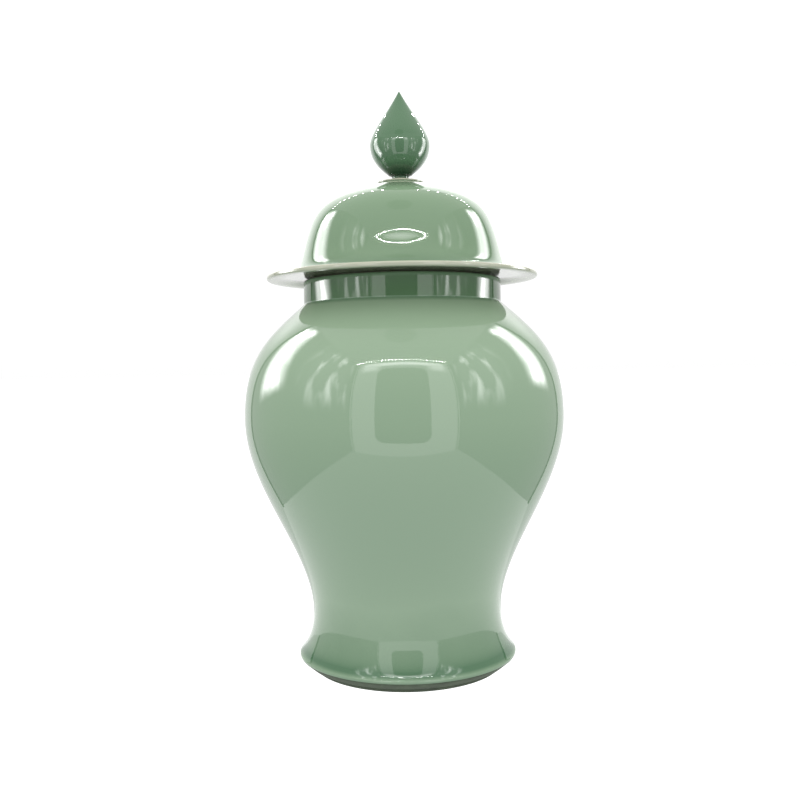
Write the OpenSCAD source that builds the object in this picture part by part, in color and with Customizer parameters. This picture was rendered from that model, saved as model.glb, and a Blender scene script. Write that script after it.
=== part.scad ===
// Lidded temple jar in glazed porcelain: a baluster body with a flared foot and a short neck,
// a domed lid with a wide thin brim that drops over the neck, and a bud finial.
// The clay sections are turned forms about the Z axis. The table is at z = 0.

/* [Body] */
// Diameter at the belly, where the lower and the upper body section meet
belly_d = 254.8; // [244:0.2:266]
// Height of the belly above the table
belly_z = 199.5; // [193:0.5:206]
// Diameter at the waist, where the foot section and the lower body section meet
waist_d = 151.8; // [142:0.2:160]
// Height of the waist above the table
waist_z = 44.5; // [40:0.5:50]
// Height of the crease where the shoulder meets the neck
shoulder_z = 290; // [285:0.5:295]
// Thickness of the body wall
wall = 6; // [4:0.5:7]
// Thickness of the floor inside the body
floor_t = 8; // [6:0.5:12]

/* [Foot] */
// Diameter at the rounded edge of the flared foot
foot_d = 174.8; // [168:0.2:182]
// Height of that edge above the table
foot_edge_z = 10.7; // [9:0.1:12]
// Outer diameter of the bare ring where it stands on the table
foot_ring_d = 152; // [142:1:158]
// Width of the bare ring's standing face
foot_ring_w = 9; // [6:0.5:12]
// Height of the bare ring, which is also the recess under the floor
foot_ring_h = 4; // [3:0.5:5]

/* [Neck] */
// Outer diameter of the neck
neck_d = 158; // [150:0.5:164]
// Height of the neck above the shoulder crease
neck_h = 18.7; // [14:0.1:26]
// Thickness of the neck wall
neck_wall = 6; // [5:0.5:7]

/* [Lid] */
// Outer diameter of the brim
brim_d = 216; // [200:1:226]
// Thickness of the brim at its edge
brim_edge_t = 3.6; // [3:0.1:4.5]
// Thickness of the brim where the dome stands on it
brim_root_t = 5; // [4.6:0.1:6]
// Diameter of the dome just above the brim
dome_d = 163.2; // [159:0.2:167]
// Height of the dome's flat crown above the underside of the brim
dome_h = 76.6; // [71:0.2:82]
// Thickness of the dome wall
dome_wall = 5; // [4:0.5:6]
// Depth of the locating rim under the brim
rim_depth = 18; // [12:1:24]
// Thickness of the locating rim
rim_t = 4.5; // [3.5:0.5:5.5]
// Radial play between the locating rim and the neck
rim_play = 2.5; // [1.5:0.5:3]
// Height of the lid above the lip when it is closed
seat_gap = 0.3; // [0.3:0.1:0.6]

/* [Finial] */
// Diameter of the seat disc on the crown
seat_d = 38; // [34:0.2:42]
// Height of the seat from the crown to the start of the stem
seat_h = 4.2; // [3.6:0.2:6]
// Diameter of the stem
stem_d = 13.4; // [12:0.2:15]
// Height of the stem, from the seat to the foot of the bud
stem_h = 2.6; // [2:0.2:4]
// Diameter of the bud where its cup starts above the stem
bud_foot_d = 18.8; // [17:0.2:21]
// Widest diameter of the bud
bud_d = 48.5; // [44:0.5:52]
// Height of the bud's widest point above the seat
bud_mid_h = 26.6; // [24:0.2:29]
// Height of the bud's tip above the seat
bud_h = 70; // [65:0.5:75]
// Diameter of the firing vent up through the stem
vent_d = 4; // [3:0.5:5]

/* [Hidden] */
$fn = 96;

glaze = "#95AC90";
shaded_glaze = "#87A083";
bud_glaze = "#6F9474";
bare_clay = "#A39C8E";

belly_r = belly_d / 2;
waist_r = waist_d / 2;
foot_r = foot_d / 2;
foot_ring_r = foot_ring_d / 2;
neck_r = neck_d / 2;
neck_bore_r = neck_r - neck_wall;
lip_z = shoulder_z + neck_h;
lip_round = 2;
bore_round = 1.5;

rim_r = neck_bore_r - rim_play;
rim_bore_r = rim_r - rim_t;
rim_round = 1.2;
brim_r = brim_d / 2;
brim_z = lip_z + seat_gap;
brim_round = 1.5;
dome_r = dome_d / 2;
dome_z = brim_z + brim_root_t;
crown_z = brim_z + dome_h;
ceiling_z = crown_z - dome_wall - 1;

seat_r = seat_d / 2;
seat_edge_r = 0.7;
stem_r = stem_d / 2;
stem_z = crown_z + seat_h;
bud_r = bud_d / 2;
bud_wall = 6;
vent_r = vent_d / 2;

// A cubic curve from a to d, pulled towards b and c, in n steps.
function curve(a, b, c, d, n) = [
    for (i = [0 : n])
        let (t = i / n, s = 1 - t)
            s * s * s * a + 3 * s * s * t * b + 3 * s * t * t * c + t * t * t * d
];

// A round edge about centre c from angle a0 to angle a1, in n steps.
function arc(c, r, a0, a1, n = 4) = [
    for (i = [0 : n])
        let (a = a0 + (a1 - a0) * i / n)
            c + r * [cos(a), sin(a)]
];

// A path without its first point, so that two paths join with no point twice.
function tail(path) = [for (i = [1 : len(path) - 1]) path[i]];

// A path in the opposite order.
function flip(path) = [for (i = [len(path) - 1 : -1 : 0]) path[i]];

// The direction from point i of a rising path towards the axis side.
function inward(path, i) =
    let (step = path[min(i + 1, len(path) - 1)] - path[max(i - 1, 0)])
        [-step.y, step.x] / norm(step);

// A path moved inwards by depth, which gives a wall its even thickness.
function inset(path, depth) = [
    for (i = [0 : len(path) - 1]) path[i] + depth * inward(path, i)
];

// The points of a path between two heights.
function between(path, low, high) = [for (p = path) if (p.y > low && p.y < high) p];

// The foot's rounded edge, with an undercut below it that slopes in to the bare ring.
foot_edge_round = 2.2;
foot_edge = arc([foot_r - foot_edge_round, foot_edge_z], foot_edge_round, -55, 40);
undercut_slope = (foot_edge[0].x - foot_ring_r) / foot_edge[0].y;
foot_ring_top_r = foot_ring_r + undercut_slope * foot_ring_h;
floor_corner = 14;

// The flare from the foot's edge up to the waist.
flare_start = foot_edge[len(foot_edge) - 1];
flare_curve = curve(
    flare_start,
    flare_start + [-6.1, 7.3],
    [waist_r, waist_z - 14],
    [waist_r, waist_z],
    10
);

// The body from the waist up to the belly.
belly_curve = curve(
    [waist_r, waist_z],
    [waist_r, waist_z + 49],
    [belly_r, belly_z - 56],
    [belly_r, belly_z],
    20
);

// The shoulder from the belly up to the crease under the neck.
shoulder_curve = curve(
    [belly_r, belly_z],
    [belly_r, belly_z + 50.5],
    [neck_r + 27, shoulder_z - 24],
    [neck_r, shoulder_z],
    20
);

// The dome from just above the brim up and over to the crown.
dome_foot_h = 3;
dome_start = [dome_r, dome_z + dome_foot_h];
crown_r = seat_r - seat_edge_r;
dome_curve = curve(
    dome_start,
    dome_start + [-10.3, 54.5],
    [dome_r - 15, crown_z - 15.6],
    [crown_r, crown_z],
    24
);
// Lower down, the outside of the dome sweeps out to the brim in a slight hollow curve.
sweep_r = dome_r + 8.4;
sweep_h = 20.3;
dome_side = between(dome_curve, dome_z + sweep_h, crown_z + 1);
dome_sweep = curve(
    [sweep_r, dome_z],
    [dome_r + 1.5, dome_z + 0.4],
    dome_side[0] + [2.5, -11],
    dome_side[0],
    10
);

// Turns a half outline about the jar's axis.
module turned(outline) {
    rotate_extrude() polygon(outline);
}

// Bare ring that the jar stands on, trimmed free of glaze.
module foot_ring() {
    color(bare_clay) turned([
        [foot_ring_r - foot_ring_w, 0],
        [foot_ring_r, 0],
        [foot_ring_top_r, foot_ring_h],
        [foot_ring_r - foot_ring_w - 1, foot_ring_h]
    ]);
}

// Foot section, thrown with the floor: the flared foot, up to the seam at the waist.
module foot_section() {
    floor_z = foot_ring_h + floor_t;
    inner_wall = between(inset(flare_curve, wall), floor_z + floor_corner, waist_z - 1);
    corner_centre = [inner_wall[0].x - floor_corner, floor_z + floor_corner];
    color(glaze) turned(concat(
        [[0, foot_ring_h], [foot_ring_top_r, foot_ring_h]],
        foot_edge,
        tail(flare_curve),
        [[waist_r - wall, waist_z]],
        flip(inner_wall),
        arc(corner_centre, floor_corner, 0, -90, 6),
        [[0, floor_z]]
    ));
}

// Lower body section, from the seam at the waist to the seam at the belly.
module lower_body() {
    inner_wall = between(inset(belly_curve, wall), waist_z + 1, belly_z - 1);
    color(glaze) turned(concat(
        [[waist_r - wall, waist_z]],
        belly_curve,
        [[belly_r - wall, belly_z]],
        flip(inner_wall)
    ));
}

// Upper body section, from the seam at the belly to the foot of the neck.
module upper_body() {
    inner_shoulder = [
        for (p = inset(shoulder_curve, wall))
            if (p.x > neck_bore_r + 0.5 && p.y > belly_z + 1) p
    ];
    last = inner_shoulder[len(inner_shoulder) - 1];
    color(glaze) turned(concat(
        [[belly_r - wall, belly_z]],
        shoulder_curve,
        [[neck_bore_r, shoulder_z], [neck_bore_r, last.y + 1]],
        flip(inner_shoulder)
    ));
}

// Short straight neck with a wiped lip that carries the lid.
module neck_collar() {
    color(shaded_glaze) turned(concat(
        [[neck_bore_r, shoulder_z], [neck_r, shoulder_z]],
        arc([neck_r - lip_round, lip_z - lip_round], lip_round, 0, 90),
        arc([neck_bore_r + bore_round, lip_z - bore_round], bore_round, 90, 180)
    ));
}

// Bare ring under the lid that drops inside the neck and keeps the lid central.
module lid_locating_rim() {
    low = brim_z - rim_depth;
    color(bare_clay) turned(concat(
        [[rim_r, brim_z], [rim_bore_r, brim_z]],
        arc([rim_bore_r + rim_round, low + rim_round], rim_round, 180, 270),
        arc([rim_r - rim_round, low + rim_round], rim_round, 270, 360)
    ));
}

// Wide thin brim that rests on the lip and overhangs the neck.
module lid_brim() {
    edge_x = brim_r - brim_round;
    color(shaded_glaze) turned(concat(
        [[rim_bore_r, brim_z]],
        arc([edge_x, brim_z + brim_round], brim_round, -90, 0),
        arc([edge_x, brim_z + brim_edge_t - brim_round], brim_round, 0, 87),
        [[sweep_r, dome_z], [rim_bore_r, dome_z]]
    ));
}

// Dome of the lid, swept out at its foot and with a flat land for the finial.
module lid_dome() {
    inner_dome = between(inset(dome_curve, dome_wall), dome_z + dome_foot_h, ceiling_z);
    color(glaze) turned(concat(
        [[dome_r - dome_wall, dome_z]],
        dome_sweep,
        tail(dome_side),
        [[vent_r, crown_z], [vent_r, ceiling_z]],
        flip(inner_dome)
    ));
}

// Thin flared disc that spreads the foot of the finial over the crown.
module finial_seat() {
    edge = arc([seat_r - seat_edge_r, crown_z + seat_edge_r], seat_edge_r, -90, 75);
    color(shaded_glaze) turned(concat(
        [[vent_r, crown_z]],
        edge,
        tail(curve(
            edge[len(edge) - 1],
            [seat_r - 6, crown_z + 2],
            [stem_r + 1.3, crown_z + 2.2],
            [stem_r, stem_z],
            8
        )),
        [[vent_r, stem_z]]
    ));
}

// Pointed bud on its short stem, hollow and vented so that it fires safely.
module finial_bud() {
    foot = [bud_foot_d / 2, stem_z + stem_h];
    mid = [bud_r, stem_z + bud_mid_h];
    tip = [0, stem_z + bud_h];
    stem = curve([stem_r, stem_z], [stem_r, foot.y - 0.6], [stem_r + 0.8, foot.y - 0.6], foot, 6);
    cup = curve(foot, foot + [2.5, 2.8], mid - [0, 14.5], mid, 14);
    point = curve(mid, mid + [0, 10], [bud_r * 0.4, tip.y - 17], tip, 14);
    hollow_low = [vent_r, foot.y + 7.4];
    hollow_mid = mid - [bud_wall, 0];
    hollow_tip = [0, tip.y - 24];
    color(bud_glaze) turned(concat(
        stem,
        tail(cup),
        tail(point),
        curve(hollow_tip, hollow_tip + [5, -6], hollow_mid + [0, 8], hollow_mid, 8),
        tail(curve(hollow_mid, hollow_mid - [0, 9], hollow_low + [6, 3], hollow_low, 8)),
        [[vent_r, stem_z]]
    ));
}

foot_ring();
foot_section();
lower_body();
upper_body();
neck_collar();
lid_locating_rim();
lid_brim();
lid_dome();
finial_seat();
finial_bud();
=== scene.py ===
import math

import bmesh
import bpy
import numpy as np
from mathutils import Matrix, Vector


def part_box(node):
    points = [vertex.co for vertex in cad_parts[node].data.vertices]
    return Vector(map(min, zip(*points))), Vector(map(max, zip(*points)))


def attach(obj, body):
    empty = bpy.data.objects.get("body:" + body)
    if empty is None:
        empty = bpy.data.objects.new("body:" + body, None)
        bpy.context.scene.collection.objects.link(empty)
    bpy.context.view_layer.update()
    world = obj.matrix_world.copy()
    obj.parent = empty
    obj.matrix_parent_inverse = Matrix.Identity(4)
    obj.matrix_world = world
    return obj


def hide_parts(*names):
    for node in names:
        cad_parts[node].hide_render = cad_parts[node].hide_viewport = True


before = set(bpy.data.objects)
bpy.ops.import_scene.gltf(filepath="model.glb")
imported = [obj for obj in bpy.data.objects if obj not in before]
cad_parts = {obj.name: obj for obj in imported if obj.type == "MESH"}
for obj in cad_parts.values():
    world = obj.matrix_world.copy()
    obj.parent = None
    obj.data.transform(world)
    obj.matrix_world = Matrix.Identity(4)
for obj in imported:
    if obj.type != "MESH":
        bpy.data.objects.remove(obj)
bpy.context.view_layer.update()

MM = 0.001


# ---------------------------------------------------------------- foot ring
# The narrow ring that the jar stands on: bare porcelain biscuit, grey buff from the kiln, but coloured
# dark and greenish here as painted shade where it meets the floor.
# The potter turns it on the wheel and sponges the glaze off, so that it can't stick to the shelf.

ring_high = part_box("foot_ring")[1]
section_low, section_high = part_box("foot_section")
RING_R = 76 * MM
RING_WIDTH = 9 * MM
RING_ROUND = 0.8 * MM
# How far a hidden face reaches into the next piece, so that no gap can open between them.
OVERLAP = 1 * MM
# Depth of the glaze, from 0 to 1: what lies on a flat, and how strongly a bend changes it.
FLAT_DEPTH = 0.5
BEND_GAIN = 0.9


def linear(hex_colour):
    """An sRGB hex colour as linear red, green, blue and an alpha of 1."""
    parts = [int(hex_colour[i:i + 2], 16) / 255 for i in (1, 3, 5)]
    return [c / 12.92 if c <= 0.04045 else ((c + 0.055) / 1.055) ** 2.4 for c in parts] + [1]


def add_node(tree, kind, inputs=None, **settings):
    """Adds a node with its settings. An input is a value, or an output to link from."""
    node = tree.nodes.new(kind)
    for name, value in settings.items():
        setattr(node, name, value)
    for name, value in (inputs or {}).items():
        if isinstance(value, bpy.types.NodeSocket):
            tree.links.new(value, node.inputs[name])
        else:
            node.inputs[name].default_value = value
    return node


def new_material(name):
    """An empty node material, with the output node that its shader goes to."""
    material = bpy.data.materials.new(name)
    material.use_nodes = True
    material.node_tree.nodes.clear()
    return material, add_node(material.node_tree, "ShaderNodeOutputMaterial")


def colour_ramp(tree, factor, stops):
    """A colour ramp through (position, hex colour) stops. Gives its colour output."""
    ramp = add_node(tree, "ShaderNodeValToRGB", {"Fac": factor})
    elements = ramp.color_ramp.elements
    while len(elements) < len(stops):
        elements.new(0.5)
    for element, (position, hex_colour) in zip(elements, stops):
        element.position = position
        element.color = linear(hex_colour)
    return ramp.outputs["Color"]


def arc(centre, radius, start, end, steps=8):
    """Points (radius, height) of a round edge from one angle to another, in degrees."""
    angles = [math.radians(start + (end - start) * i / steps) for i in range(steps + 1)]
    return [(centre[0] + radius * math.cos(a), centre[1] + radius * math.sin(a)) for a in angles]


def curve(a, b, c, d, steps):
    """Points of a cubic curve from a to d, pulled towards b and c."""
    a, b, c, d = map(np.array, (a, b, c, d))
    times = [i / steps for i in range(steps + 1)]
    return [tuple((1 - t) ** 3 * a + 3 * (1 - t) ** 2 * t * b + 3 * (1 - t) * t * t * c + t ** 3 * d)
            for t in times]


def glaze_depths(outline, reach=5 * MM):
    """How thick glaze lies at each point: 0.5 on a flat, less on a round edge, more in a crease."""
    path = np.array(outline)
    steps = np.linalg.norm(np.diff(path, axis=0), axis=1)
    along = np.concatenate([[0], np.cumsum(steps)])
    before = np.stack([np.interp(along - reach, along, path[:, i]) for i in (0, 1)], axis=1)
    after = np.stack([np.interp(along + reach, along, path[:, i]) for i in (0, 1)], axis=1)
    way = after - before
    outward = np.stack([way[:, 1], -way[:, 0]], axis=1) / np.linalg.norm(way, axis=1)[:, None]
    hollow = np.sum(((before + after) / 2 - path) * outward, axis=1) / reach
    return np.clip(FLAT_DEPTH + BEND_GAIN * hollow, 0, 1)


def turned(name, outline, materials, is_bare=None, run_down=None, steps=168):
    """Spins a half outline, given as (radius, height), into a smooth piece about the Z axis.
    The outline runs with the clay on its left. Faces where is_bare(r, z) take the second material,
    and run_down(z) is the depth added where glaze has run down and gathered."""
    shape = bmesh.new()
    depth_layer = shape.verts.layers.float.new("glaze_depth")
    points = [shape.verts.new((r, 0, z)) for r, z in outline]
    for point, depth, (r, z) in zip(points, glaze_depths(outline), outline):
        point[depth_layer] = depth + run_down(z) if run_down else depth
    ends = list(zip(points, points[1:]))
    if outline[0][0] > 0:
        ends.append((points[-1], points[0]))
    edges = [shape.edges.new(pair) for pair in ends]
    bmesh.ops.spin(shape, geom=points + edges, cent=(0, 0, 0), axis=(0, 0, 1), dvec=(0, 0, 0),
                   angle=2 * math.pi, steps=steps, use_merge=True)
    bmesh.ops.remove_doubles(shape, verts=shape.verts, dist=0.001 * MM)
    bmesh.ops.recalc_face_normals(shape, faces=shape.faces)
    for face in shape.faces:
        face.smooth = True
        middle = face.calc_center_median()
        if is_bare and is_bare(math.hypot(middle.x, middle.y), middle.z):
            face.material_index = 1
    mesh = bpy.data.meshes.new(name)
    shape.to_mesh(mesh)
    shape.free()
    for material in materials:
        mesh.materials.append(material)
    piece = bpy.data.objects.new(name, mesh)
    bpy.context.scene.collection.objects.link(piece)
    return piece


def biscuit_material(name, dark, even, pale):
    """Unglazed porcelain biscuit: matt, finely gritty, with faint wheel rings."""
    material, output = new_material(name)
    tree = material.node_tree
    place = add_node(tree, "ShaderNodeTexCoord").outputs["Object"]
    # Kiln staining in patches about 12 mm across.
    stain = add_node(tree, "ShaderNodeTexNoise", {"Vector": place, "Scale": 80.0, "Detail": 4.0})
    colour = colour_ramp(tree, stain.outputs["Fac"], [(0.3, dark), (0.55, even), (0.8, pale)])
    # Grit of about 0.4 mm, drawn a little coarser than it is so that it shows.
    grit = add_node(tree, "ShaderNodeTexNoise", {"Vector": place, "Scale": 1600.0, "Detail": 2.0})
    # Wheel rings about 1.2 mm apart, left by the turning tool.
    rings = add_node(tree, "ShaderNodeTexWave", {"Vector": place, "Scale": 260.0, "Distortion": 1.0},
                     wave_type="RINGS", rings_direction="Z")
    relief = add_node(tree, "ShaderNodeMix", {"Factor": 0.25, "A": grit.outputs["Fac"],
                                              "B": rings.outputs["Fac"]})
    bump = add_node(tree, "ShaderNodeBump", {"Height": relief.outputs["Result"], "Strength": 0.5,
                                             "Distance": 0.15 * MM})
    shader = add_node(tree, "ShaderNodeBsdfPrincipled",
                      {"Base Color": colour, "Normal": bump.outputs["Normal"],
                       "Roughness": 0.85, "IOR": 1.5})
    tree.links.new(shader.outputs["BSDF"], output.inputs["Surface"])
    return material


# Painted shade: the biscuit under the foot is coloured dark and greenish for the deep shade where it
# meets the floor.
shaded_biscuit = biscuit_material("porcelain_biscuit_painted_shade", "#323C2C", "#3E4A36", "#4F5D45")
ring_outline = (
    arc((RING_R - RING_WIDTH + RING_ROUND, RING_ROUND), RING_ROUND, 180, 270, 4)
    + arc((RING_R - RING_ROUND, RING_ROUND), RING_ROUND, 270, 330, 4)
    + [(ring_high.x, ring_high.z), (RING_R - RING_WIDTH - OVERLAP, ring_high.z)]
)
foot_ring = turned("bare_foot_ring", ring_outline, [shaded_biscuit])
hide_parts("foot_ring")
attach(foot_ring, "jar")


# --------------------------------------------------------------- glazed body
# The body of the jar: the foot section and two body sections, thrown apart and luted with slip.
# One coat of celadon glaze covers the seams inside and out, and pools in the crease at the neck.

upper_low, upper_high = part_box("upper_body")
WALL = 6 * MM
FLOOR = 8 * MM
FLOOR_CORNER = 14 * MM
FOOT_EDGE_Z = 10.7 * MM
FOOT_EDGE_ROUND = 2.2 * MM
WAIST_R = 75.9 * MM
NECK_R = 79 * MM
NECK_WALL = 6 * MM
CREASE_ROUND = 2 * MM
LET_IN = 8 * MM
# Reach of the tangents that draw the side of the jar, below and above each place.
FLARE_IN, FLARE_UP = 6.7 * MM, 6.9 * MM
WAIST_BELOW, WAIST_ABOVE = 14 * MM, 49 * MM
BELLY_BELOW, BELLY_ABOVE = 56 * MM, 50.5 * MM
CREASE_OUT, CREASE_BELOW = 27 * MM, 24 * MM
# Glaze gathers slowly over the whole foot, and steeply in the bead along its edge; the depth it adds
# also darkens the foot and its edge as painted shade under the belly.
RUN_HEIGHT = 60 * MM
FOOT_POOL_AND_SHADE = 0.24
BEAD_POOL_AND_SHADE = 0.5
BEAD_STEEPNESS = 14
# How far the slow drift of the coat moves its depth, from the thinnest place to the thickest.
DRIFT = 0.12


def inset(path, depth):
    """A rising path moved towards the axis by the thickness of the wall."""
    path = np.array(path)
    way = np.gradient(path, axis=0)
    inward = np.stack([-way[:, 1], way[:, 0]], axis=1) / np.linalg.norm(way, axis=1)[:, None]
    return [tuple(p) for p in path + depth * inward]


def celadon_material(name, thin, even, pooled):
    """Celadon: a clear green glaze over white porcelain, fired to a wet gloss.
    It is palest where it runs thin over an edge, and deepest where it pools in a crease."""
    material, output = new_material(name)
    tree = material.node_tree
    place = add_node(tree, "ShaderNodeTexCoord").outputs["Object"]
    depth = add_node(tree, "ShaderNodeAttribute", attribute_name="glaze_depth").outputs["Fac"]
    # Slow drift of the glaze's depth, in clouds about 60 mm across.
    drift = add_node(tree, "ShaderNodeTexNoise", {"Vector": place, "Scale": 16.0, "Detail": 3.0})
    drift_part = add_node(tree, "ShaderNodeMath", {0: drift.outputs["Fac"], 1: DRIFT},
                          operation="MULTIPLY")
    summed = add_node(tree, "ShaderNodeMath", {0: depth, 1: drift_part.outputs[0]}, operation="ADD")
    level = add_node(tree, "ShaderNodeMath", {0: summed.outputs[0], 1: DRIFT / 2},
                     operation="SUBTRACT")
    colour = colour_ramp(tree, level.outputs[0],
                         [(0.12, thin), (0.4, even), (0.56, even), (0.9, pooled)])
    # Waves of about 30 mm that bend the reflections, and orange peel of about 2 mm.
    waves = add_node(tree, "ShaderNodeTexNoise", {"Vector": place, "Scale": 32.0, "Detail": 1.0})
    peel = add_node(tree, "ShaderNodeTexNoise", {"Vector": place, "Scale": 420.0, "Detail": 1.0})
    wavy = add_node(tree, "ShaderNodeBump", {"Height": waves.outputs["Fac"], "Strength": 0.25,
                                             "Distance": 0.4 * MM})
    peeled = add_node(tree, "ShaderNodeBump", {"Height": peel.outputs["Fac"], "Strength": 0.1,
                                               "Distance": 0.02 * MM,
                                               "Normal": wavy.outputs["Normal"]})
    gloss = add_node(tree, "ShaderNodeMapRange", {"Value": drift.outputs["Fac"],
                                                  "To Min": 0.02, "To Max": 0.05})
    shader = add_node(tree, "ShaderNodeBsdfPrincipled",
                      {"Base Color": colour, "Roughness": gloss.outputs["Result"],
                       "Normal": peeled.outputs["Normal"], "IOR": 1.52})
    tree.links.new(shader.outputs["BSDF"], output.inputs["Surface"])
    return material


body_glaze = celadon_material("celadon_glaze_body", "#B9BDA8", "#93AA8F", "#55775A")

belly_r, belly_z = upper_high.x, upper_low.z
waist_z = section_high.z
crease_z = upper_high.z
bore_r = NECK_R - NECK_WALL

foot_edge = arc((section_high.x - FOOT_EDGE_ROUND, FOOT_EDGE_Z), FOOT_EDGE_ROUND, -55, 44, 12)
flare_start = foot_edge[-1]
flare = curve(flare_start, (flare_start[0] - FLARE_IN, flare_start[1] + FLARE_UP),
              (WAIST_R, waist_z - WAIST_BELOW), (WAIST_R, waist_z), 26)
rise = curve((WAIST_R, waist_z), (WAIST_R, waist_z + WAIST_ABOVE),
             (belly_r, belly_z - BELLY_BELOW), (belly_r, belly_z), 70)
shoulder = curve((belly_r, belly_z), (belly_r, belly_z + BELLY_ABOVE),
                 (NECK_R + CREASE_OUT, crease_z - CREASE_BELOW), (NECK_R, crease_z), 64)
# A small round of pooled glaze fills the crease between the shoulder and the neck,
# and the body's upper edge is let into the foot of the neck.
pool_slope = math.degrees(math.atan2(CREASE_BELOW, CREASE_OUT))
pool_reach = CREASE_ROUND * math.tan(math.radians(45 - pool_slope / 2))
shoulder = [p for p in shoulder if p[0] > NECK_R + pool_reach]
pool = arc((NECK_R + CREASE_ROUND, crease_z + pool_reach), CREASE_ROUND, -90 - pool_slope, -180, 8)
floor_z = section_low.z + FLOOR
inner_side = [p for p in inset(flare + rise[1:] + shoulder[1:], WALL)
              if p[1] > floor_z + FLOOR_CORNER and (p[0] > bore_r or p[1] < belly_z)]
floor_r = inner_side[0][0] - FLOOR_CORNER
body_outline = (
    [(0, section_low.z), (ring_high.x, section_low.z)]
    + foot_edge + flare[1:] + rise[1:] + shoulder[1:] + pool
    + [(NECK_R - OVERLAP, crease_z + LET_IN), (bore_r + OVERLAP, crease_z + LET_IN)]
    + [(bore_r, crease_z + pool_reach)]
    + inner_side[::-1]
    + arc((floor_r, floor_z + FLOOR_CORNER), FLOOR_CORNER, 0, -90, 12)
    + [(0, floor_z)]
)


def foot_pool_and_shade(z):
    """Depth that the glaze gains by running down over the foot, which also darkens it as painted shade
    under the belly.
    """
    near = min(max(1 - (z - FOOT_EDGE_Z) / RUN_HEIGHT, 0), 1)
    return FOOT_POOL_AND_SHADE * near + BEAD_POOL_AND_SHADE * near ** BEAD_STEEPNESS


# The glaze stops in a line just below the middle of the foot's rounded edge. The bare undercut below
# it takes the dark biscuit, painted shade where it faces the floor.
glaze_line_z = FOOT_EDGE_Z - 0.8 * MM
body = turned("glazed_jar_body", body_outline, [body_glaze, shaded_biscuit], run_down=foot_pool_and_shade,
              is_bare=lambda r, z: z < glaze_line_z)
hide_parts("foot_section", "lower_body", "upper_body")
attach(body, "jar")


# --------------------------------------------------------------- glazed neck
# The short straight neck, glazed darker than the body as painted shade under the lid's brim.
# Its lip is wiped free of glaze, because the lid rests on it in the kiln.

neck_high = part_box("neck_collar")[1]
LIP_ROUND = 2 * MM
BORE_ROUND = 1.5 * MM
BARE_LIP = 0.4 * MM

biscuit = biscuit_material("bare_porcelain_biscuit", "#8F897C", "#A7A194", "#B9B2A2")
# Painted shade: the neck's glaze colours are darker than the body's, for the shade under the lid's
# brim.
shaded_neck_glaze = celadon_material("celadon_glaze_neck_painted_shade", "#6F8A6C", "#50724D", "#3E5F3E")
lip_z = neck_high.z
# The neck starts a little inside the shoulder, so that no gap shows in the crease.
neck_outline = (
    [(bore_r + OVERLAP, crease_z - LET_IN), (NECK_R - OVERLAP, crease_z - LET_IN)]
    + [(NECK_R, crease_z + pool_reach), (NECK_R, lip_z - 2 * LIP_ROUND)]
    + arc((NECK_R - LIP_ROUND, lip_z - LIP_ROUND), LIP_ROUND, 0, 90, 10)
    + arc((bore_r + BORE_ROUND, lip_z - BORE_ROUND), BORE_ROUND, 90, 180, 8)
)
neck = turned("glazed_neck", neck_outline, [shaded_neck_glaze, biscuit],
              is_bare=lambda r, z: z > lip_z - BARE_LIP)
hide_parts("neck_collar")
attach(neck, "jar")


# ------------------------------------------------------------- locating rim
# The bare ring luted under the lid. It hangs inside the neck with a little play,
# so that the loose lid can't slide off.

rim_low, rim_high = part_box("lid_locating_rim")
RIM_WIDTH = 4.5 * MM
RIM_ROUND = 1.2 * MM
rim_r = rim_high.x
rim_bore_r = rim_r - RIM_WIDTH
rim_outline = (
    [(rim_bore_r, rim_high.z)]
    + arc((rim_bore_r + RIM_ROUND, rim_low.z + RIM_ROUND), RIM_ROUND, 180, 270, 6)
    + arc((rim_r - RIM_ROUND, rim_low.z + RIM_ROUND), RIM_ROUND, 270, 360, 6)
    + [(rim_r, rim_high.z)]
)
rim = turned("bare_locating_rim", rim_outline, [biscuit])
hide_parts("lid_locating_rim")
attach(rim, "lid")


# --------------------------------------------------------------- glazed lid
# The domed lid with its wide thin brim and the flared seat of the finial, glazed in and out.
# The glaze runs thin and beige round the brim, and a ring under it is left bare for the lip.

brim_low, brim_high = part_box("lid_brim")
dome_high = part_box("lid_dome")[1]
seat_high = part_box("finial_seat")[1]
BRIM_EDGE = 3.6 * MM
BRIM_ROUND = 1.5 * MM
DOME_R = 81.6 * MM
DOME_FOOT = 3 * MM
DOME_WALL = 5 * MM
SWEEP_R = 90 * MM
SWEEP_HEIGHT = 20.3 * MM
SEAT_EDGE = 0.7 * MM
STEM_R = 6.7 * MM
VENT_R = 2 * MM
BARE_R = 85.5 * MM
# Reach of the tangents that draw the dome, the sweep at its foot and the top of the seat.
DOME_SIDE_IN, DOME_SIDE_UP = 10.3 * MM, 54.5 * MM
DOME_TOP_IN, DOME_TOP_BELOW = 15 * MM, 15.6 * MM
SWEEP_FOOT_OUT, SWEEP_FOOT_UP = 1.5 * MM, 0.4 * MM
SWEEP_TOP_OUT, SWEEP_TOP_BELOW = 2.5 * MM, 11 * MM
SEAT_SLOPE_IN, SEAT_SLOPE_UP = 6 * MM, 2 * MM
SEAT_HOLLOW_OUT, SEAT_HOLLOW_UP = 1.3 * MM, 2.2 * MM
# How much paler the brim's underside is painted, as painted light that stands for light thrown up
# under it, and how much thinner the glaze lies on the seat.
UNDER_BRIM_PAINTED_LIGHT = 0.5
SEAT_LESS = 0.25

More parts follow.
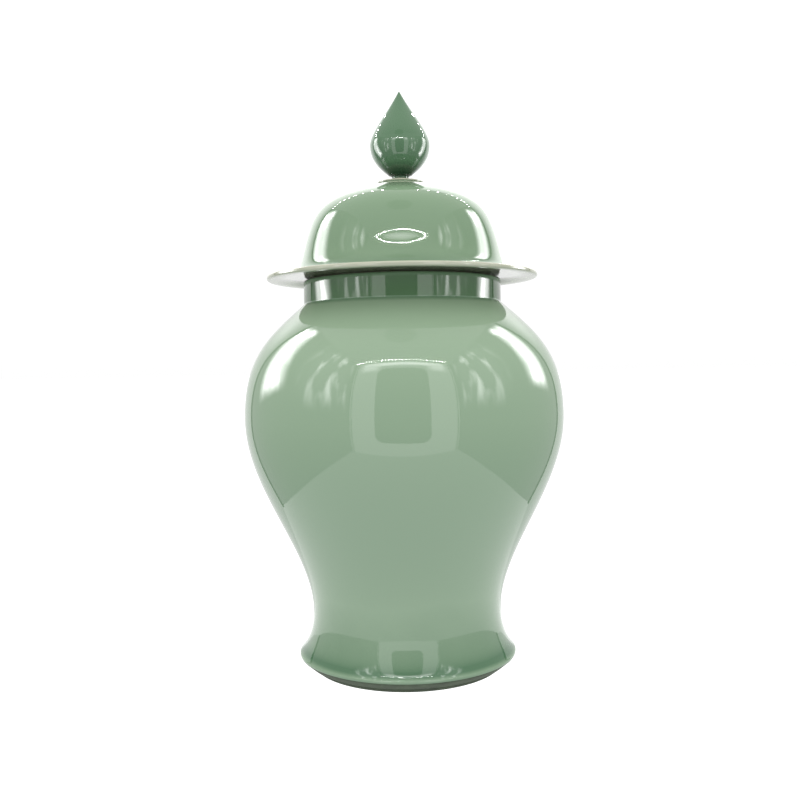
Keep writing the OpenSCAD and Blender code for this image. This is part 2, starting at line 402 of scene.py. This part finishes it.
lid_glaze = celadon_material("celadon_glaze_lid", "#BCBDA9", "#7E987A", "#4F7051")
crown_z = dome_high.z
dome_z = brim_high.z
ceiling_z = crown_z - DOME_WALL - OVERLAP
stem_z = seat_high.z
seat_r = seat_high.x
dome_start = (DOME_R, dome_z + DOME_FOOT)
dome = curve(dome_start, (DOME_R - DOME_SIDE_IN, dome_start[1] + DOME_SIDE_UP),
             (DOME_R - DOME_TOP_IN, crown_z - DOME_TOP_BELOW), (seat_r - SEAT_EDGE, crown_z), 80)
inner_dome = [p for p in inset(dome, DOME_WALL) if p[1] < ceiling_z]
# The side of the dome sweeps out to the brim in a slight hollow curve.
dome = [p for p in dome if p[1] > dome_z + SWEEP_HEIGHT]
sweep = curve((SWEEP_R, dome_z), (DOME_R + SWEEP_FOOT_OUT, dome_z + SWEEP_FOOT_UP),
              (dome[0][0] + SWEEP_TOP_OUT, dome[0][1] - SWEEP_TOP_BELOW), dome[0], 28)
seat_edge = arc((seat_r - SEAT_EDGE, crown_z + SEAT_EDGE), SEAT_EDGE, -90, 75, 8)
seat_top = curve(seat_edge[-1], (seat_r - SEAT_SLOPE_IN, crown_z + SEAT_SLOPE_UP),
                 (STEM_R + SEAT_HOLLOW_OUT, crown_z + SEAT_HOLLOW_UP), (STEM_R, stem_z), 16)
brim_edge_r = brim_high.x - BRIM_ROUND
under_brim_z = brim_low.z + 0.1 * MM
lid_outline = (
    [(rim_bore_r, brim_low.z)]
    + arc((brim_edge_r, brim_low.z + BRIM_ROUND), BRIM_ROUND, -90, 0, 8)
    + arc((brim_edge_r, brim_low.z + BRIM_EDGE - BRIM_ROUND), BRIM_ROUND, 0, 87, 8)
    + sweep + dome[1:] + seat_edge[1:] + seat_top[1:]
    + [(VENT_R, stem_z), (VENT_R, ceiling_z)]
    + inner_dome[::-1]
    + [(DOME_R - DOME_WALL, dome_z), (rim_bore_r, dome_z)]
)


def lid_thinning_and_painted_light(z):
    """The glaze is thinner on the seat of the finial; under the brim it is painted paler, as painted
    light thrown up under it.
    """
    if z < under_brim_z:
        return -UNDER_BRIM_PAINTED_LIGHT
    return -SEAT_LESS if z > crown_z else 0


lid = turned("glazed_lid", lid_outline, [lid_glaze, biscuit], run_down=lid_thinning_and_painted_light,
             is_bare=lambda r, z: z < under_brim_z and r < BARE_R)
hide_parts("lid_brim", "lid_dome", "finial_seat")
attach(lid, "lid")


# ------------------------------------------------------------------- finial
# The pointed bud that lifts the lid, on its short narrow stem. It is thrown hollow,
# luted over a vent in the crown, and carries the thickest and darkest glaze.

bud_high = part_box("finial_bud")[1]
STEM = 2.6 * MM
BUD_FOOT_R = 9.4 * MM
BUD_MID = 26.6 * MM
BUD_WALL = 6 * MM
HOLLOW_FOOT = 7.4 * MM
HOLLOW_BELOW_TIP = 24 * MM
# Reach of the tangents that draw the stem, the bud and the hollow inside it.
STEM_CURL_OUT, STEM_CURL_BELOW = 0.8 * MM, 0.6 * MM
CUP_OUT, CUP_UP = 2.5 * MM, 2.8 * MM
BUD_BELOW, BUD_ABOVE = 14.5 * MM, 10 * MM
POINT_SHARE, POINT_BELOW = 0.4, 17 * MM
HOLLOW_TIP_OUT, HOLLOW_TIP_BELOW = 5 * MM, 30 * MM
HOLLOW_ABOVE, HOLLOW_BELOW = 8 * MM, 9 * MM
HOLLOW_FOOT_OUT, HOLLOW_FOOT_UP = 6 * MM, 3 * MM
# Glaze gathers most at the foot of the bud, over this height to either side.
BUD_RUN = 12 * MM
BUD_GATHER = 0.5

finial_glaze = celadon_material("celadon_glaze_finial", "#7C9A7C", "#587A5B", "#20402A")
bud_r = bud_high.x
tip_z = bud_high.z
foot_z = stem_z + STEM
mid_z = stem_z + BUD_MID
stem = curve((STEM_R, stem_z), (STEM_R, foot_z - STEM_CURL_BELOW),
             (STEM_R + STEM_CURL_OUT, foot_z - STEM_CURL_BELOW), (BUD_FOOT_R, foot_z), 10)
bud_cup = curve((BUD_FOOT_R, foot_z), (BUD_FOOT_R + CUP_OUT, foot_z + CUP_UP),
                (bud_r, mid_z - BUD_BELOW), (bud_r, mid_z), 34)
bud_point = curve((bud_r, mid_z), (bud_r, mid_z + BUD_ABOVE),
                  (bud_r * POINT_SHARE, tip_z - POINT_BELOW), (0, tip_z), 40)
hollow_r = bud_r - BUD_WALL
hollow_z = foot_z + HOLLOW_FOOT
hollow = (
    curve((0, tip_z - HOLLOW_BELOW_TIP), (HOLLOW_TIP_OUT, tip_z - HOLLOW_TIP_BELOW),
          (hollow_r, mid_z + HOLLOW_ABOVE), (hollow_r, mid_z), 12)
    + curve((hollow_r, mid_z), (hollow_r, mid_z - HOLLOW_BELOW),
            (VENT_R + HOLLOW_FOOT_OUT, hollow_z + HOLLOW_FOOT_UP), (VENT_R, hollow_z), 12)[1:]
)
finial_outline = hollow + [(VENT_R, stem_z)] + stem + bud_cup[1:] + bud_point[1:]


def bud_run(z):
    """Depth that the glaze gains by gathering round the foot of the bud."""
    return BUD_GATHER * max(1 - abs(z - foot_z) / BUD_RUN, 0)


finial = turned("glazed_finial", finial_outline, [finial_glaze], run_down=bud_run, steps=128)
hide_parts("finial_bud")
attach(finial, "lid")


# -------------------------------------------------------------- studio floor
# A wide sheet of milky white acrylic, lit a little from below, so that the even light
# from all round leaves only a faint shadow under the foot.

FLOOR_SIZE = 80.0
FLOOR_GLOW_SHARE = 0.88
FLOOR_GLOW_STRENGTH = 1.5


def acrylic_material():
    """Matt milky acrylic with a very faint mottle, glowing from the light under it."""
    material, output = new_material("milky_acrylic")
    tree = material.node_tree
    place = add_node(tree, "ShaderNodeTexCoord").outputs["Object"]
    mottle = add_node(tree, "ShaderNodeTexNoise", {"Vector": place, "Scale": 3.0})
    colour = colour_ramp(tree, mottle.outputs["Fac"], [(0.3, "#E4E4E4"), (0.7, "#E8E8E8")])
    board = add_node(tree, "ShaderNodeBsdfDiffuse", {"Color": colour})
    glow = add_node(tree, "ShaderNodeEmission", {"Strength": FLOOR_GLOW_STRENGTH})
    mixed = add_node(tree, "ShaderNodeMixShader", {0: FLOOR_GLOW_SHARE, 1: board.outputs[0],
                                                   2: glow.outputs[0]})
    tree.links.new(mixed.outputs[0], output.inputs["Surface"])
    return material


def panel(name, width, height, place, turn, material, corner=0):
    """A flat stage panel with its middle at place, turned by XYZ angles in degrees."""
    shape = bmesh.new()
    bmesh.ops.create_grid(shape, x_segments=1, y_segments=1, size=0.5)
    bmesh.ops.scale(shape, vec=(width, height, 1), verts=shape.verts)
    if corner:
        bmesh.ops.bevel(shape, geom=shape.verts[:], offset=corner, offset_type="OFFSET",
                        segments=8, profile=0.5, affect="VERTICES", material=-1)
    mesh = bpy.data.meshes.new(name)
    shape.to_mesh(mesh)
    shape.free()
    mesh.materials.append(material)
    piece = bpy.data.objects.new(name, mesh)
    piece.location = place
    piece.rotation_euler = [math.radians(a) for a in turn]
    bpy.context.scene.collection.objects.link(piece)
    return piece


studio_floor = panel("studio_floor", FLOOR_SIZE, FLOOR_SIZE, (0, 0, 0), (0, 0, 0), acrylic_material())
studio_floor.visible_diffuse = False


# --------------------------------------------------------------- light tent
# A cube of white cloth, 600 mm each way, that only shows as reflections in the gloss:
# a front wall with an opening for the lens, side walls with soft lamps, a back wall,
# and a ceiling with a round window and rows of small lamps.

TENT_SIDE = 0.295
TENT_FRONT = -0.45
TENT_BACK = 0.145
TENT_TOP = 0.6
TENT_MID = (TENT_FRONT + TENT_BACK) / 2
TENT_DEPTH = TENT_BACK - TENT_FRONT
IN_FRONT = 1.5 * MM
LAMP_R = 3.2 * MM
LAMP_Z = TENT_TOP - 6 * MM
UPRIGHT, SIDEWAYS, LEVEL = (90, 0, 0), (90, 0, 90), (0, 0, 0)


def lit_material(name, strength, width=0, height=0, soft=0, folds=0):
    """White light from a panel, fading out over a soft edge of that width. Where folds is given,
    the cloth is crumpled, and its folds catch the light up to that strength."""
    material, output = new_material(name)
    tree = material.node_tree
    light = add_node(tree, "ShaderNodeEmission", {"Strength": strength})
    surface = light.outputs[0]
    place = add_node(tree, "ShaderNodeTexCoord").outputs["Object"]
    if folds:
        # Folds about 60 mm wide and 200 mm long, running down at a slant.
        slanted = add_node(tree, "ShaderNodeMapping",
                           {"Vector": place, "Rotation": (0, 0, 0.6), "Scale": (16, 5, 1)})
        crumple = add_node(tree, "ShaderNodeTexNoise", {"Vector": slanted.outputs[0], "Scale": 1.0,
                                                        "Detail": 2.0, "Distortion": 0.3})
        caught = add_node(tree, "ShaderNodeMapRange",
                          {"Value": crumple.outputs["Fac"], "From Min": 0.48, "From Max": 0.66,
                           "To Min": strength, "To Max": folds})
        tree.links.new(caught.outputs["Result"], light.inputs["Strength"])
    if soft:
        parts = add_node(tree, "ShaderNodeSeparateXYZ", {"Vector": place})
        fades = []
        for axis, size in (("X", width), ("Y", height)):
            away = add_node(tree, "ShaderNodeMath", {0: parts.outputs[axis]}, operation="ABSOLUTE")
            fades.append(add_node(tree, "ShaderNodeMapRange",
                                  {"Value": away.outputs[0], "From Min": size / 2 - soft,
                                   "From Max": size / 2, "To Min": 1.0, "To Max": 0.0},
                                  interpolation_type="SMOOTHSTEP").outputs["Result"])
        mask = add_node(tree, "ShaderNodeMath", {0: fades[0], 1: fades[1]}, operation="MULTIPLY")
        clear = add_node(tree, "ShaderNodeBsdfTransparent")
        surface = add_node(tree, "ShaderNodeMixShader", {0: mask.outputs[0], 1: clear.outputs[0],
                                                         2: light.outputs[0]}).outputs[0]
    tree.links.new(surface, output.inputs["Surface"])
    return material


def only_reflected(piece):
    """Leaves a stage panel out of everything but reflections."""
    piece.visible_camera = False
    piece.visible_diffuse = False
    piece.visible_shadow = False
    piece.visible_transmission = False
    piece.visible_volume_scatter = False


def cloth(name, width, height, place, turn, strength, soft=0, corner=0, folds=0):
    """A panel of the tent, seen only in reflections."""
    material = lit_material(name, strength, width, height, soft, folds)
    only_reflected(panel(name, width, height, place, turn, material, corner))


cloth("tent_front", 2 * TENT_SIDE, TENT_TOP, (0, TENT_FRONT, TENT_TOP / 2), UPRIGHT, 2.2)
cloth("tent_back", 2 * TENT_SIDE, TENT_TOP, (0, TENT_BACK, TENT_TOP / 2), UPRIGHT, 1.05)
cloth("tent_ceiling", 2 * TENT_SIDE, TENT_DEPTH, (0, TENT_MID, TENT_TOP), LEVEL, 0.95)
cloth("ceiling_window", 0.12, 0.12, (-0.008, -0.175, TENT_TOP - IN_FRONT), LEVEL, 0.5, corner=0.055)
cloth("lens_opening", 0.262, 0.436, (-0.009, TENT_FRONT + IN_FRONT, 0.296), UPRIGHT, 0.4, corner=0.045)
cloth("front_glow", 0.5, 0.07, (0, TENT_FRONT + IN_FRONT, 0.57), UPRIGHT, 9.0, soft=0.034)
cloth("back_glow", 2 * TENT_SIDE, 0.4, (0, TENT_BACK - IN_FRONT, 0.5), UPRIGHT, 2.2, soft=0.1)
for side, lamp_width, lamp_height, lean in ((-1, 0.16, 0.36, 20), (1, 0.14, 0.34, 14)):
    wall_x = side * TENT_SIDE
    cloth("tent_side", TENT_DEPTH, TENT_TOP, (wall_x, TENT_MID, TENT_TOP / 2), SIDEWAYS, 0.6)
    cloth("side_front_glow", 0.36, 0.4, (wall_x - side * IN_FRONT, -0.27, 0.42), SIDEWAYS, 1.1,
          soft=0.1, folds=7.0)
    cloth("side_lamp", lamp_width, lamp_height, (wall_x - 2 * side * IN_FRONT, 0.045, 0.41),
          (90, lean, 90), 8.0, soft=0.05, folds=18.0)
    cloth("front_corner_glow", 0.16, 0.13, (side * 0.19, TENT_FRONT + 2 * IN_FRONT, 0.54), UPRIGHT,
          6.0, soft=0.06)
    for in_from_corner in (0.003, 0.018):
        cloth("front_seam", 0.006, TENT_TOP,
              (side * (TENT_SIDE - in_from_corner), TENT_FRONT + 2 * IN_FRONT, TENT_TOP / 2),
              UPRIGHT, 0.02)
    cloth("back_seam", 0.02, TENT_TOP, (wall_x - 3 * side * IN_FRONT, TENT_BACK - 0.01, TENT_TOP / 2),
          SIDEWAYS, 0.0)


lamp_material = lit_material("small_lamp", 200.0)


def lamp_row(name, start, end, count):
    """A row of small round lamps between two points."""
    shape = bmesh.new()
    for i in range(count):
        share = i / (count - 1)
        middle = [a + (b - a) * share for a, b in zip(start, end)]
        made = bmesh.ops.create_icosphere(shape, subdivisions=1, radius=LAMP_R)
        bmesh.ops.translate(shape, verts=made["verts"], vec=middle)
    mesh = bpy.data.meshes.new(name)
    shape.to_mesh(mesh)
    shape.free()
    mesh.materials.append(lamp_material)
    row = bpy.data.objects.new(name, mesh)
    bpy.context.scene.collection.objects.link(row)
    only_reflected(row)


lamp_row("lamps_front", (-0.28, -0.42, LAMP_Z), (0.25, -0.42, LAMP_Z), 28)
lamp_row("lamps_back", (-0.29, 0.13, LAMP_Z), (0.29, 0.13, LAMP_Z), 22)

# Even white light for the clay itself: full from all round, more from straight above,
# and less from below a soft horizon.
MORE_ABOVE = 0.6
LESS_BELOW = 0.75
HORIZON_LOW, HORIZON_HIGH = -0.06, -0.02
world = bpy.data.worlds.new("white_surround")
bpy.context.scene.world = world
world.use_nodes = True
sky = world.node_tree
way = add_node(sky, "ShaderNodeTexCoord").outputs["Generated"]
height = add_node(sky, "ShaderNodeSeparateXYZ", {"Vector": way}).outputs["Z"]
above = add_node(sky, "ShaderNodeMapRange", {"Value": height, "To Min": 0.0, "To Max": MORE_ABOVE})
below = add_node(sky, "ShaderNodeMapRange",
                 {"Value": height, "From Min": HORIZON_LOW, "From Max": HORIZON_HIGH,
                  "To Min": LESS_BELOW, "To Max": 1.0})
light = add_node(sky, "ShaderNodeMath", {0: above.outputs["Result"], 1: below.outputs["Result"]},
                 operation="ADD")
sky.links.new(light.outputs[0], sky.nodes["Background"].inputs["Strength"])
# The light thrown up from below is a little cool.
sky.links.new(colour_ramp(sky, below.outputs["Result"], [(LESS_BELOW, "#E6F5F3"), (1.0, "#FFFFFF")]),
              sky.nodes["Background"].inputs["Color"])
bpy.context.scene.view_settings.view_transform = "Standard"


# ------------------------------------------------------------------- camera
# A short telephoto just above belly height, close in front of the jar and tipped down a little.

CAMERA_AT = (-3.2 * MM, -748 * MM, 238.5 * MM)
CAMERA_DOWN = 1.98
CAMERA_ROLL = -0.95
FOCAL = 41.63
SENSOR = 36

camera_data = bpy.data.cameras.new("camera")
camera_data.lens = FOCAL
camera_data.sensor_width = SENSOR
camera = bpy.data.objects.new("camera", camera_data)
bpy.context.scene.collection.objects.link(camera)
camera.matrix_world = (Matrix.Translation(CAMERA_AT)
                       @ Matrix.Rotation(math.radians(90 - CAMERA_DOWN), 4, "X")
                       @ Matrix.Rotation(math.radians(CAMERA_ROLL), 4, "Z"))
bpy.context.scene.camera = camera
